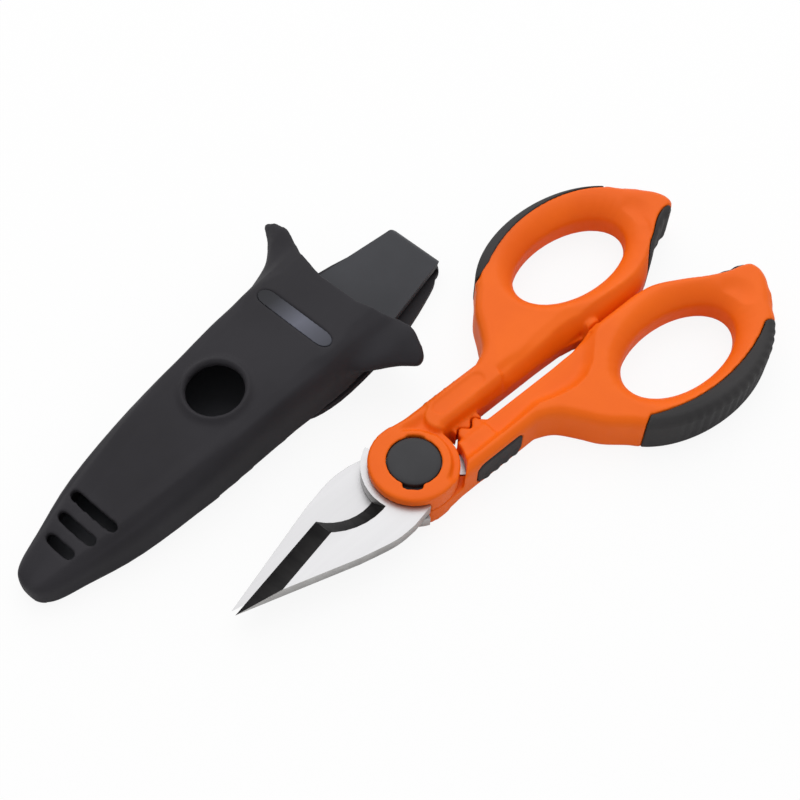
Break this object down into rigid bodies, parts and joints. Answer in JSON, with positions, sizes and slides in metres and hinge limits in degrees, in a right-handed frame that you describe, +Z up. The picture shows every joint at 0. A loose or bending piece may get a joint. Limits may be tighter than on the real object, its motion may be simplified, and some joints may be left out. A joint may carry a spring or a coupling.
{
  "type": "electrician's scissors with belt sheath",
  "caption": "Short-bladed cable scissors with finger loops, a stripping notch and a toothed crimping nose, lying beside a tapered belt sheath with thumb hole and bent clip.",
  "frame": {"origin": "on the scissors' pivot axis at the underside of the lower pivot cap, level with the table", "axes": "+X from the pivot to the finger loops, +Y towards the upper handle and the sheath, +Z up along the pivot"},
  "size_m": [0.1888, 0.1132, 0.0198],
  "materials": {
    "satin_steel": "satin ground",
    "orange_nylon": "satin moulded",
    "charcoal_rubber": "matte",
    "black_nylon": "satin moulded",
    "charcoal_nylon": "fine matte texture",
    "grey_label": "semi-gloss"
  },
  "bodies": {
    "upper_half": {"upper_blade": "satin_steel", "upper_handle": "orange_nylon", "upper_loop_grip": "charcoal_rubber", "upper_tip_grip": "charcoal_rubber", "upper_shank_grip": "charcoal_rubber", "upper_pivot_cap": "black_nylon", "pivot_bolt": "satin_steel", "pivot_nut": "satin_steel", "spring_washer": "satin_steel"},
    "lower_half": {"lower_blade": "satin_steel", "lower_handle": "orange_nylon", "lower_loop_grip": "charcoal_rubber", "lower_tip_grip": "charcoal_rubber", "lower_shank_grip": "charcoal_rubber", "lower_pivot_cap": "black_nylon"},
    "belt_clip": {"clip_leg": "charcoal_nylon"},
    "sheath": {"sheath_shell": "charcoal_nylon", "sheath_back": "charcoal_nylon", "label_inlay": "grey_label"}
  },
  "joints": [
    {"name": "scissors_pivot", "type": "hinge", "parent": "upper_half", "child": "lower_half", "pos_m": [0, 0, 0.006], "axis": [0, 0, -1], "range_deg": [0, 26]},
    {"name": "sheath_lift", "type": "slide", "parent": "upper_half", "child": "belt_clip", "axis": [0, 0, 1], "range_m": [0, 0.06]},
    {"name": "clip_flex", "type": "hinge", "parent": "belt_clip", "child": "sheath", "pos_m": [0.04817, 0.05014, 0.0031], "axis": [-0.1097, 0.994, 0], "range_deg": [0, 8], "stiffness_Nm_per_rad": 4}
  ]
}
